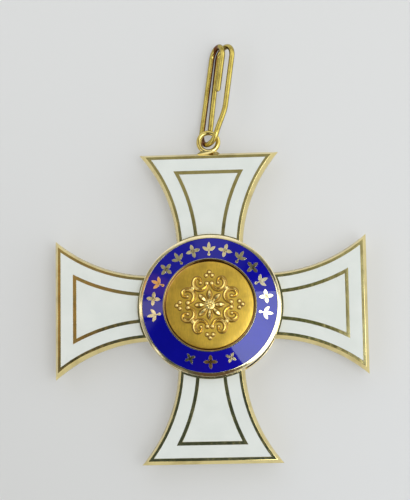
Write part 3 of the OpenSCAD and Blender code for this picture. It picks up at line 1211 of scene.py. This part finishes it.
@dataclass
class FrontMedallion:
    """The front medallion: rim, plate and collar in gold, the blue ring, and the gold motifs in it.

    Heights count from the foot of the plate.

    Attributes:
        shop: where its pieces are finished.
        plate, motif: the sizes of the plate, and the motifs.
        rim_inner, rim_outer: heights of the rim's two edges.
        rim_crown: how far its middle rises over the straight line between them.
        rim_round, collar_round, edge_round: roundings of the rim, of the collar within, and of the rest.
        ring_low: height of the blue ring at the rim.
        ring_rise: how far it rises to the collar.
        collar_rise: how far the collar stands over it.
        motif_radius: radius of the circle on which the motifs stand.
        motif_rise: how far they stand over the enamel.
        run_count, run_half_angle: number of motifs in the long run, and half of the angle that it covers.
        base_step: angle between the three motifs at the bottom.
        base_scale: size of the outer two of them, as a share of the others'.
    """

    shop: Workshop
    plate: Plate = Plate()
    motif: Motif = Motif()
    rim_inner: float = 1.16
    rim_outer: float = 1.06
    rim_crown: float = 0.005
    rim_round: float = 0.08
    collar_round: float = 0.12
    edge_round: float = 0.02
    ring_low: float = 1.1
    ring_rise: float = 0.46
    collar_rise: float = 0.05
    motif_radius: float = 9.5
    motif_rise: float = 0.012
    run_count: int = 13
    run_half_angle: float = 99.0
    base_step: float = 21.0
    base_scale: float = 0.8

    def build(self) -> None:
        """Makes the setting with its motifs, and the enamel ring."""
        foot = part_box("front_setting")[0].z / MM
        bm = self._setting()
        self._motifs(bm)
        lift(bm, foot)
        self.shop.piece(bm, "medallion_setting", Slot.FRAME, Body.CROSS, "front_setting", crease=20.0)
        ring = self.plate.glaze(self.plate.thick, self.ring_low, self.ring_low + self.ring_rise)
        lift(ring, foot)
        self.shop.piece(ring, "medallion_ring", Slot.BLUE, Body.CROSS, "front_ring_enamel")

    def _setting(self) -> BMesh:
        """Turns plate, rim and collar in one section.

        Returns:
            The new mesh.
        """
        plate, floor = self.plate, self.plate.thick
        top = self.ring_low + self.ring_rise + self.collar_rise
        fall = self.rim_outer - self.rim_inner
        stations = (0.75, 0.5, 0.25)
        crown = [Corner(plate.inner + share * plate.rim,
                        self.rim_inner + share * fall + 4 * share * (1 - share) * self.rim_crown)
                 for share in stations]
        return turn_section([
            Corner(0.0, 0.0), Corner(plate.radius, 0.0, plate.foot_round),
            Corner(plate.radius, self.rim_outer, self.rim_round), *crown,
            Corner(plate.inner, self.rim_inner, self.edge_round), Corner(plate.inner, floor),
            Corner(plate.collar, floor), Corner(plate.collar, top, self.edge_round),
            Corner(plate.hole, top, self.collar_round), Corner(plate.hole, floor), Corner(0.0, floor),
        ], steps=plate.steps, soft_steps=5)

    def _on_ring(self, around: float) -> Matrix:
        """Gives the place of a motif, tilted with the ring's slope.

        Args:
            around: its angle from the top.

        Returns:
            The matrix of the place.
        """
        slope = self.ring_rise / (self.plate.inner - self.plate.collar)
        level = self.ring_low + slope * (self.plate.inner - self.motif_radius)
        return (turned(around) @ moved(0.0, self.motif_radius, level + self.motif_rise)
                @ turned(-math.degrees(math.atan(slope)), "X"))

    def _motifs(self, bm: BMesh) -> None:
        """Presses sprigs and florets into the ring: a long run over the top, and three at the bottom.

        Args:
            bm: the mesh that takes them.
        """
        step = 2 * self.run_half_angle / (self.run_count - 1)
        sprig, floret, small = self.motif.sprig(), self.motif.floret(), self.motif.floret(self.base_scale)
        places = [((sprig, floret)[number % 2], self._on_ring(self.run_half_angle - number * step))
                  for number in range(self.run_count)]
        places.append((floret, self._on_ring(HALF)))
        places += [(small, self._on_ring(HALF + side * self.base_step) @ turned(EIGHTH)) for side in (-1, 1)]
        for parts, place in places:
            for stamp, own in parts:
                stamp.press(bm, place @ own)
        for stamp in {stamp for parts in (sprig, floret, small) for stamp, _ in parts}:
            stamp.clear()


@dataclass
class CentreDisc:
    """The cast centre disc: a frosted field with a rounded edge, and a rosette of leaves, scrolls and beads.

    Each form of the relief stands in a moat, a wider and low copy of it whose top takes the painted shade at
    the relief's foot.

    Attributes:
        shop: where its pieces are finished.
        radius: radius of the disc.
        field: radius of its domed field, within the polished lip.
        dome: how far the field falls from its middle to the lip.
        lip_drop: how far the lip falls outwards.
        foot_round, edge_round, lip_round: roundings of its foot, of its outer edge and of the lip.
        low, top: heights of its underside and of its field over the plate's foot.
        relief: height of the relief.
        moat, moat_rise: how far a moat reaches round its form, and its height.
        scroll_moat: height of a scroll's moat, as a share of moat_rise.
        leaf_moat: how much wider a leaf's moat is and its full height, as shares of moat and of moat_rise.
        reach: distance of the scrolls' centres from the middle.
        scroll_turns: turns of a scroll about the disc's middle and about its own.
        curl, inner_curl: radius of a scroll's large arc, and of the small one that it rolls into.
        large_turn, small_turn: angles of these arcs.
        large_steps, small_steps: their numbers of steps.
        wire: greatest width of a scroll.
        thin: share of that width at its ends.
        swell, haste: how full the width swells, and how much sooner than evenly.
        even: share of a scroll's height that doesn't swell with its width.
        crest, crest_groove: share of that height above which its crest is grooved, and the groove's depth.
        leaf, leaf_in: length and width of a leaf, and how far from the middle it begins.
        petal, petal_place, petal_tilt: length, width and height of a petal, how far out and up it begins, and
            its tilt.
        boss: radius of the boss at its foot and at its top, and its height.
        boss_low, boss_round: height of its underside, and rounding of its top.
        knob: radius and height of the knob on the boss.
        end_bead, eye_bead, small_bead, large_bead: radius of each bead as a share of the wire, and its height
            as a share of the relief.
        cluster: places of the small beads between two pairs of scrolls.
    """

    shop: Workshop
    radius: float = 7.37
    field: float = DISC_FIELD
    dome: float = DISC_DOME
    lip_drop: float = 0.1
    foot_round: float = 0.08
    edge_round: float = 0.12
    lip_round: float = 0.3
    low: float = 0.43
    top: float = 1.62
    relief: float = 0.42
    moat: float = 0.14
    moat_rise: float = 0.035
    scroll_moat: float = 1.5
    leaf_moat: Pair = (2.4, 2.2)
    reach: float = 3.95
    scroll_turns: Pair = (-22.5, 60.0)
    curl: float = 1.1
    inner_curl: float = 0.56
    large_turn: float = 215.0
    small_turn: float = 175.0
    large_steps: int = 30
    small_steps: int = 18
    wire: float = 0.66
    thin: float = 0.5
    swell: float = 0.8
    haste: float = 1.15
    even: float = 0.55
    crest: float = 0.97
    crest_groove: float = 0.18
    leaf: Pair = (1.85, 0.85)
    leaf_in: float = 0.75
    petal: Triple = (0.62, 0.34, 0.3)
    petal_place: Pair = (0.2, 0.24)
    petal_tilt: float = -12.0
    boss: Triple = (0.95, 0.86, 0.24)
    boss_low: float = -0.15
    boss_round: float = 0.1
    knob: Pair = (0.3, 0.42)
    end_bead: Pair = (0.56, 1.02)
    eye_bead: Pair = (0.4, 0.9)
    small_bead: Pair = (0.5, 0.9)
    large_bead: Pair = (0.62, 1.0)
    cluster: tuple[Pair, ...] = ((0.0, 5.5), (-0.5, 4.95), (0.5, 4.95))

    def build(self) -> None:
        """Makes the disc with its relief as one cast piece."""
        lip = self.top - self.dome
        stations = (0.8, 0.6, 0.4, 0.2)
        bm = turn_section([
            Corner(0.0, self.low), Corner(self.radius, self.low, self.foot_round),
            Corner(self.radius, lip - self.lip_drop, self.edge_round),
            Corner(self.field, lip, self.lip_round),
            *[Corner(share * self.field, self.top - self.dome * share ** 2) for share in stations],
            Corner(0.0, self.top),
        ], steps=128, soft_steps=5)
        relief = bmesh.new()
        self._scrolls(relief)
        self._leaves(relief)
        self._beads(relief)
        lift(relief, self.top)
        for vertex in relief.verts:
            vertex.co.z -= self.dome * (vertex.co.xy.length / self.field) ** 2
        self._pour(relief, bm)
        lift(bm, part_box("front_setting")[0].z / MM)
        self.shop.piece(bm, "centre_disc", Slot.SATIN, Body.CROSS, "front_disc", crease=50.0)

    @staticmethod
    def _pour(source: BMesh, target: BMesh) -> None:
        """Adds one mesh to another.

        Args:
            source: the mesh that is added, which is freed.
            target: the mesh that takes it.
        """
        stamp = Stamp(source)
        stamp.press(target)
        stamp.clear()

    def _scroll(self, moat: float, relief: float) -> Stamp:
        """Sweeps one scroll: a large arc that rolls into a smaller one, thick in its middle.

        Args:
            moat: how much wider it is than the wire, on each side; a scroll without one gets a grooved crest.
            relief: its height.

        Returns:
            The stamp.
        """
        stations = [(0.0, self.curl, self.large_turn * (i / self.large_steps - 1))
                    for i in range(self.large_steps)]
        stations += [(self.curl - self.inner_curl, self.inner_curl, self.small_turn * i / self.small_steps)
                     for i in range(self.small_steps + 1)]
        rings = []
        for number, (middle, radius, angle) in enumerate(stations):
            share = min(1.0, self.haste * number / (len(stations) - 1))
            body = self.thin + (1 - self.thin) * math.sin(math.pi * share) ** self.swell
            out = on_arc(1.0, angle)
            rings.append(ring_at(Vector((middle, 0.0, 0.0)) + radius * out, Vector((-out.y, out.x, 0.0)), out,
                                 body * self.wire / 2 + moat, relief * (self.even + (1 - self.even) * body)))
        bm = bmesh.new()
        sweep(bm, rings, sides=12)
        if not moat:
            lowest = self.crest * relief * self.even
            crest = [v for v in bm.verts if v.co.z > lowest and self._is_crest(v)]
            bmesh.ops.translate(bm, vec=(0.0, 0.0, -self.crest_groove), verts=crest)
        return Stamp(bm)

    @staticmethod
    def _is_crest(vertex: Vert) -> bool:
        """Tells whether a vertex of a scroll is the highest of its ring, or level with the highest."""
        return all(e.other_vert(vertex).co.z < vertex.co.z + 2 * LEVEL for e in vertex.link_edges)

    def _moated(self, share: Pair) -> list[Stamp]:
        """Makes a bead and its moat.

        Args:
            share: the bead's radius as a share of the wire, and its height as a share of the relief.

        Returns:
            The two stamps.
        """
        radius = share[0] * self.wire
        return [bead(radius, share[1] * self.relief), bead(radius + self.moat, self.moat_rise)]

    def _scrolls(self, bm: BMesh) -> None:
        """Presses four mirrored pairs of scrolls with the beads at their ends.

        Args:
            bm: the mesh that takes them.
        """
        scrolls = [self._scroll(0.0, self.relief), self._scroll(self.moat, self.scroll_moat * self.moat_rise)]
        ends, eyes = self._moated(self.end_bead), self._moated(self.eye_bead)
        at_start = Matrix.Translation(on_arc(self.curl, -self.large_turn))
        at_end = (moved(self.curl - self.inner_curl, 0.0)
                  @ Matrix.Translation(on_arc(self.inner_curl, self.small_turn)))
        about_disc, about_self = self.scroll_turns
        own = turned(about_disc) @ moved(0.0, self.reach) @ turned(about_self)
        for number in range(4):
            for flip in (Matrix.Scale(-1.0, 4, (1.0, 0.0, 0.0)), STAY):
                for stamps, place in ((scrolls, STAY), (ends, at_start), (eyes, at_end)):
                    for stamp in stamps:
                        stamp.press(bm, turned(QUARTER * number) @ flip @ own @ place)
        for stamp in (*scrolls, *ends, *eyes):
            stamp.clear()

    def _leaves(self, bm: BMesh) -> None:
        """Presses eight ridged leaves round the boss, and a small petal ring on it.

        Args:
            bm: the mesh that takes them.
        """
        (length, width), (wider, tall) = self.leaf, self.leaf_moat
        leaf = spindle(length, width, 2 * self.relief, sides=6)
        moat = spindle(length + 2 * self.moat, width + wider * self.moat, tall * self.moat_rise, sides=16)
        petal = spindle(*self.petal, sides=8)
        for number in range(8):
            around = turned(EIGHTH * number)
            leaf.press(bm, around @ moved(0.0, self.leaf_in))
            moat.press(bm, around @ moved(0.0, self.leaf_in - self.moat))
        for number in range(8):
            petal.press(bm, turned(EIGHTH * (number + 0.5)) @ moved(0.0, *self.petal_place)
                        @ turned(self.petal_tilt, "X"))
        for stamp in (leaf, moat, petal):
            stamp.clear()

    def _beads(self, bm: BMesh) -> None:
        """Presses the boss with its knob, and the beads between the scrolls.

        Args:
            bm: the mesh that takes them.
        """
        foot, crown, top = self.boss
        boss = turn_section([
            Corner(0.0, self.boss_low), Corner(foot, self.boss_low), Corner(crown, top, self.boss_round),
            Corner(0.0, top),
        ], steps=48)
        self._pour(boss, bm)
        knob, small, large = bead(*self.knob), self._moated(self.small_bead), self._moated(self.large_bead)
        knob.press(bm)
        for number in range(4):
            for place in self.cluster:
                for stamp in small:
                    stamp.press(bm, turned(QUARTER * number) @ moved(*place))
            for stamp in large:
                stamp.press(bm, turned(QUARTER * number + EIGHTH) @ moved(0.0, self.reach))
        for stamp in (knob, *small, *large):
            stamp.clear()


@dataclass
class BackMedallion:
    """The plain back medallion on which the cross lies.

    Attributes:
        shop: where its pieces are finished.
        plate: the sizes of the plate.
        groove: width of the groove between collar and disc.
        ring_drop: how far the blue ring lies within the rim.
        disc_sink: how far the disc is let into the plate.
        rim_outer, rim_inner, collar_round, disc_round: roundings of the rim's two edges, of the collar and of
            the disc.
    """

    shop: Workshop
    plate: Plate = Plate()
    groove: float = 0.2
    ring_drop: float = 0.08
    disc_sink: float = 0.03
    rim_outer: float = 0.27
    rim_inner: float = 0.2
    collar_round: float = 0.1
    disc_round: float = 0.3

    def build(self) -> None:
        """Makes the setting, the ring and the disc, with their faces at height 0."""
        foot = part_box("back_setting")[1].z / MM
        plate, floor = self.plate, foot - self.plate.thick
        setting = turn_section([
            Corner(0.0, foot), Corner(plate.radius, foot, plate.foot_round),
            Corner(plate.radius, 0.0, self.rim_outer), Corner(plate.inner, 0.0, self.rim_inner),
            Corner(plate.inner, floor), Corner(plate.collar, floor),
            Corner(plate.collar, 0.0, self.collar_round), Corner(plate.hole, 0.0, self.collar_round),
            Corner(plate.hole, floor), Corner(0.0, floor),
        ], steps=plate.steps, soft_steps=5)
        self.shop.piece(setting, "back_medallion_setting", Slot.FRAME, Body.CROSS, "back_setting")
        ring = plate.glaze(floor, self.ring_drop, self.ring_drop)
        self.shop.piece(ring, "back_medallion_ring", Slot.BLUE, Body.CROSS, "back_ring_enamel")
        radius, sunk = plate.hole - self.groove, floor - self.disc_sink
        disc = turn_section([
            Corner(0.0, sunk), Corner(radius, sunk), Corner(radius, 0.0, self.disc_round), Corner(0.0, 0.0),
        ], steps=128, soft_steps=5)
        self.shop.piece(disc, "back_plain_disc", Slot.SATIN, Body.CROSS, "back_disc")


@dataclass
class RibbonLoop:
    """The wire loop for the ribbon: about one and three quarter turns through the eye.

    Lengths run along the loop from its pivot in the eye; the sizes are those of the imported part.

    Attributes:
        shop: where its pieces are finished.
        wire: thickness of the wire.
        bend: radius of the round ends.
        straight: length of the straight part.
        lean: how far the loop leans over to its right.
        swerve: how far its far end swerves to the right.
        dip: how far it dips towards its far end.
        first_end: place of the wire's first end.
        last_end: place of its last end.
        crossing_turn: turn of the near bend from which the wire crosses to the right.
        crossing_run: place along the loop where the crossing ends.
        shifts: sideways places of the four straight stretches, in the wire's order.
        far_shift: sideways place of the last stretch at the far bend, from where it drifts to its own.
        nip: length over which the cutters pinched the wire's ends.
        pinch: share of the wire's width that is left at its ends.
        end_round, end_corner: rounding of the ends, and how sharp an edge is there at least.
        bend_steps, sides: number of steps of a bend, and of sides of the wire.
        pivot, along, side: the pivot, and the directions along the loop and to one side, found in build().
    """

    shop: Workshop
    wire: float = 0.918
    bend: float = 2.1
    straight: float = 13.35
    lean: float = 40.0
    swerve: float = WIRE_SWERVE
    dip: float = 3.4
    first_end: float = 7.1
    last_end: float = 0.35
    crossing_turn: float = 150.0
    crossing_run: float = 4.8
    shifts: tuple[float, float, float, float] = (-0.67, 0.0, 0.97, 1.37)
    far_shift: float = 1.05
    nip: float = 0.32
    pinch: float = 0.3
    end_round: float = 0.05
    end_corner: float = 50.0
    bend_steps: int = 28
    sides: int = 24
    pivot: Vector = field(init=False)
    along: Vector = field(init=False)
    side: Vector = field(init=False)

    def build(self) -> None:
        """Sweeps the wire along its path and rounds its two ends."""
        joint = next(j for j in frame["joints"] if j["name"] == "ribbon_loop_swing")
        self.pivot = Vector(joint["pos_m"]) / MM
        swerve, dip, lean = (math.radians(a) for a in (self.swerve, self.dip, self.lean))
        self.along = Vector((math.sin(swerve) * math.cos(dip), math.cos(swerve) * math.cos(dip),
                             -math.sin(dip)))
        across = self.along.cross(UP).normalized()
        self.side = math.cos(lean) * across.cross(self.along) + math.sin(lean) * across
        axis = self.along.cross(self.side)
        path = self._path()
        last = len(path) - 1
        rings = []
        for number, place in enumerate(path):
            ahead = (path[min(number + 1, last)] - path[max(number - 1, 0)]).normalized()
            share = self.pinch if number in (0, last) else 1.0
            out = axis.cross(ahead).normalized()
            rings.append(ring_at(place, ahead, out, self.wire / 2, share * self.wire / 2))
        bm = bmesh.new()
        sweep(bm, rings, self.sides)
        round_edges(bm, sharp_edges(bm, self.end_corner), self.end_round, steps=3)
        bm.normal_update()
        # Marks how far each point faces sideways; the wire's flanks take painted shade by it.
        flank_shade = bm.verts.layers.float.new(FLANK)
        for vertex in bm.verts:
            vertex[flank_shade] = 1 - abs(vertex.normal.z)
        self.shop.piece(bm, "ribbon_wire", Slot.WIRE, Body.LOOP, "ribbon_loop", crease=self.end_corner)

    def _point(self, run: float, side: float, shift: float) -> Vector:
        """Gives a point of the wire: run along the loop, side between its sides, shift to the right."""
        return self.pivot + run * self.along + side * self.side + Vector((shift, 0.0, 0.0))

    def _far_bend(self, start: float, end: float) -> list[Vector]:
        """Gives the points of the half turn at the far end.

        Args:
            start: sideways place where it begins.
            end: sideways place where it ends.

        Returns:
            The points in the wire's order.
        """
        points = []
        for number in range(self.bend_steps + 1):
            share = number / self.bend_steps
            out = on_arc(self.bend, HALF * share)
            points.append(self._point(self.straight + out.y, out.x, start + (end - start) * smooth(share)))
        return points

    def _near_bend(self, start: float, end: float) -> list[Vector]:
        """Gives the points of the half turn in the eye and of the crossing that begins in it.

        Args:
            start: sideways place where the bend begins.
            end: sideways place where the crossing ends.

        Returns:
            The points in the wire's order.
        """
        begun = math.radians(self.crossing_turn) * self.bend
        whole = math.pi * self.bend
        points = []
        for number in range(2 * self.bend_steps + 1):
            turn = min(1.0, number / self.bend_steps)
            run = self.crossing_run * max(0.0, number / self.bend_steps - 1)
            out = on_arc(self.bend, HALF * turn)
            crossed = (whole * turn + run - begun) / (whole - begun + self.crossing_run)
            points.append(self._point(run - out.y, -out.x, start + (end - start) * smooth(crossed)))
        return points

    def _path(self) -> list[Vector]:
        """Gives the whole path of the wire.

        Returns:
            Its points, from its first end to its last.
        """
        upper_first, lower_first, upper_last, lower_last = self.shifts
        return [
            self._point(self.first_end, self.bend, upper_first),
            self._point(self.first_end + self.nip, self.bend, upper_first),
            *self._far_bend(upper_first, lower_first),
            *self._near_bend(lower_first, upper_last),
            *self._far_bend(upper_last, self.far_shift),
            self._point(self.last_end + self.nip, -self.bend, lower_last),
            self._point(self.last_end, -self.bend, lower_last),
        ]


@dataclass(frozen=True)
class Patch:
    """A soft-edged patch of the ceiling, which shows in the metal.

    Attributes:
        low: corner with the lowest x and y, in millimetres.
        high: the opposite corner.
        soft: width of its soft edge.
        glow: its radiance.
    """

    low: Pair
    high: Pair
    soft: float
    glow: Colour

    def paint(self, recipe: Recipe, under: Colour | Socket) -> Socket:
        """Paints the patch.

        Args:
            recipe: the material.
            under: the colour under the patch.

        Returns:
            The new colour.
        """
        across, along = (recipe.band(recipe.axis(name), low + self.soft, high - self.soft, self.soft)
                         for name, low, high in zip("XY", self.low, self.high))
        return recipe.blend(recipe.math("MULTIPLY", across, along), under, self.glow)


@dataclass(frozen=True)
class Panel:
    """A glowing panel of the studio.

    Attributes:
        name: name of the panel.
        place: its middle, in millimetres.
        size: its width and height.
        turn: turns about X and Z, in degrees, from lying level.
        glow: its radiance.
        patches: what is painted over it, in its own plane before it is turned.
    """

    name: str
    place: Triple
    size: Pair
    turn: Pair
    glow: Colour
    patches: tuple[Patch, ...] = ()

    def hang(self) -> bpy.types.Object:
        """Makes the panel and hangs it in its place.

        Returns:
            The panel.
        """
        recipe = Recipe(self.name)
        recipe.fixed(Base_Color=(0.0, 0.0, 0.0, 1.0), Emission_Color=(*self.glow, 1.0),
                     Emission_Strength=1.0, Roughness=1.0, Specular_IOR_Level=0.0)
        glow: Colour | Socket = self.glow
        for patch in self.patches:
            glow = patch.paint(recipe, glow)
        if self.patches:
            recipe.drive("Emission Color", glow)
        bm = sheet(*(side * MM for side in self.size))
        panel = place_object(self.name, finished_mesh(bm, self.name, recipe.material))
        tilt, spin = self.turn
        panel.matrix_world = Matrix.Translation(Vector(self.place) * MM) @ turned(spin) @ turned(tilt, "X")
        return panel


@dataclass
class Studio:
    """The pale floor, the camera at the photograph's angle, the soft window and the room round them.

    Attributes:
        camera_mm: place of the camera.
        camera_turn: turns that bring the world to the camera's axes, in degrees about X, Y and Z.
        lens, sensor: focal length, and the sensor's long side.
        near: nearest that the camera sees, in metres.
        floor_size: width and length of the floor.
        floor_gap: how far it lies under the cross.
        floor_fade: how far from the middle its colours have changed; these colours are painted light, darker
            to the left and near side.
        floor_shaded_left, floor_lit_right, floor_lit_far: its colours.
        floor_glow: how strongly it is lit from below, as on a light table.
        hang_mm: height of the large soft window.
        window_edge: the window's lower left corner in plan, seen in the blue ring.
        window_turn: turn of its left edge from +Y, in degrees.
        window_size: width and length of the window.
        window_radiance: how bright it looks.
        room: radiance of the room around.
        panels: the ceiling, and the panels round the table.
    """

    camera_mm: Triple = (19.5, -38.5, 301.4)
    camera_turn: Triple = (-9.18, -3.85, 1.50)
    lens: float = 129.3
    sensor: float = 36.0
    near: float = 0.01
    floor_size: float = 2400.0
    floor_gap: float = 0.02
    floor_fade: float = 60.0
    floor_shaded_left: Colour = (0.419, 0.419, 0.415)
    floor_lit_right: Colour = (0.478, 0.482, 0.489)
    floor_lit_far: Colour = (0.478, 0.480, 0.482)
    floor_glow: float = 0.5
    hang_mm: float = 600.0
    window_edge: Pair = (4.7, -66.0)
    window_turn: float = 30.0
    window_size: Pair = (430.0, 233.0)
    window_radiance: Colour = (3.05, 3.3, 3.45)
    room: Colour = (0.50, 0.50, 0.49)
    panels: tuple[Panel, ...] = (
        Panel("ceiling", (0.0, 0.0, 620.0), (3000.0, 3000.0), (0.0, 0.0), (1.04, 1.04, 1.02), (
            Patch((120.0, -430.0), (540.0, -120.0), 60.0, (2.4, 2.4, 2.35)),
            Patch((-420.0, -400.0), (230.0, 335.0), 60.0, (0.27, 0.28, 0.24)),
            Patch((60.0, 118.0), (250.0, 262.0), 45.0, (0.08, 0.08, 0.09)),
            Patch((104.0, 112.0), (176.0, 176.0), 20.0, (0.95, 1.0, 1.1)),
            Patch((-100.0, 205.0), (30.0, 335.0), 20.0, (0.72, 0.72, 0.64)),
            Patch((30.0, -100.0), (150.0, 112.0), 8.0, (0.50, 0.56, 0.62)),
            Patch((-320.0, -340.0), (24.0, 96.0), 18.0, (0.045, 0.065, 0.08)),
            Patch((-86.0, 60.0), (8.0, 132.0), 18.0, (0.045, 0.065, 0.075)),
            Patch((-4.0, 38.0), (24.0, 96.0), 4.0, (0.07, 0.10, 0.07)),
            Patch((19.0, 46.0), (35.0, 102.0), 4.0, (0.17, 0.17, 0.12)),
            Patch((-150.0, 52.0), (-84.0, 110.0), 6.0, (0.27, 0.175, 0.10)),
            Patch((-160.0, 48.0), (-112.0, 121.0), 3.0, (0.40, 0.29, 0.16)),
            Patch((-103.0, 40.0), (-60.0, 81.0), 3.0, (0.045, 0.065, 0.075)),
            Patch((-120.0, -1500.0), (80.0, -70.0), 40.0, (0.12, 0.075, 0.045)),
            Patch((-340.0, 46.0), (-215.0, 112.0), 14.0, (1.8, 1.65, 1.5)),
            Patch((-330.0, -40.0), (-228.0, 46.0), 12.0, (0.40, 0.40, 0.44)),
            Patch((-210.0, -178.0), (-118.0, -116.0), 14.0, (0.36, 0.31, 0.22)),
            Patch((-290.0, 118.0), (-200.0, 200.0), 15.0, (0.84, 0.45, 0.22)),
            Patch((-265.0, -125.0), (-206.0, -40.0), 12.0, (1.15, 1.15, 1.1)),
        )),
        Panel("onlooker", (-40.0, -520.0, 300.0), (420.0, 640.0), (90.0, 0.0), (0.07, 0.05, 0.035)),
        Panel("right_wall", (900.0, 0.0, 300.0), (1600.0, 640.0), (90.0, 90.0), (1.5, 1.55, 1.5)),
        Panel("left_wall", (-900.0, 0.0, 300.0), (1600.0, 640.0), (90.0, -90.0), (0.45, 0.45, 0.44)),
        Panel("near_wall", (0.0, -1300.0, 300.0), (2400.0, 640.0), (90.0, 0.0), (1.0, 1.0, 0.97)),
    )

    def build(self) -> None:
        """Makes camera, window, room, floor and panels."""
        self._camera()
        self._window()
        self._room()
        self._floor()
        [panel.hang() for panel in self.panels]
        bpy.context.scene.view_settings.view_transform = "Standard"

    def _camera(self) -> None:
        """Places the camera."""
        data = bpy.data.cameras.new("camera")
        data.lens, data.sensor_width, data.clip_start = self.lens, self.sensor, self.near
        camera = place_object("camera", data)
        turn = Euler([math.radians(a) for a in self.camera_turn], "XYZ").to_matrix().transposed()
        camera.matrix_world = Matrix.Translation(Vector(self.camera_mm) * MM) @ turn.to_4x4()
        bpy.context.scene.camera = camera

    def _window(self) -> None:
        """Hangs the large window to the right of the camera."""
        width, length = (side * MM for side in self.window_size)
        brightest = max(self.window_radiance)
        data = bpy.data.lights.new("window", "AREA")
        data.shape = "RECTANGLE"
        data.size, data.size_y = width, length
        data.energy = brightest * math.pi * width * length
        data.color = [part / brightest for part in self.window_radiance]
        edge = Vector((*self.window_edge, self.hang_mm)) * MM
        place_object("window", data).matrix_world = (
            Matrix.Translation(edge) @ turned(-self.window_turn) @ moved(width / 2, length / 2))

    def _room(self) -> None:
        """Sets the room's own light."""
        world = bpy.data.worlds.new("room")
        world.use_nodes = True
        set_inputs(world.node_tree.nodes["Background"], Color=(*self.room, 1.0), Strength=1.0)
        bpy.context.scene.world = world

    def _floor(self) -> bpy.types.Object:
        """Lays a pale matt sheet under the cross, lit a little from below.

        Returns:
            The floor.
        """
        recipe = Recipe("pale_floor")
        fade = self.floor_fade * MM
        # Painted light: darker to the left and near side, lighter to the right and far side; the glow takes
        # the same colours.
        sideways, onwards = (recipe.spread(recipe.axis(name), -fade, fade) for name in "XY")
        near = recipe.blend(sideways, self.floor_shaded_left, self.floor_lit_right)
        colour = recipe.blend(onwards, near, self.floor_lit_far)
        recipe.drive("Base Color", colour)
        recipe.drive("Emission Color", colour)
        recipe.fixed(Roughness=0.9, Emission_Strength=self.floor_glow)
        bm = sheet(self.floor_size * MM, self.floor_size * MM)
        lift(bm, -self.floor_gap * MM)
        return place_object("floor", finished_mesh(bm, "floor", recipe.material))


def main() -> None:
    """Builds the pieces in order, then the studio."""
    logging.basicConfig(level=logging.INFO, format="%(message)s")
    shop = Workshop()
    for part in (CrossBody, ArmEnamel, FrontMedallion, CentreDisc, BackMedallion, RibbonLoop):
        part(shop).build()
    Studio().build()


if __name__ == "__main__":
    main()
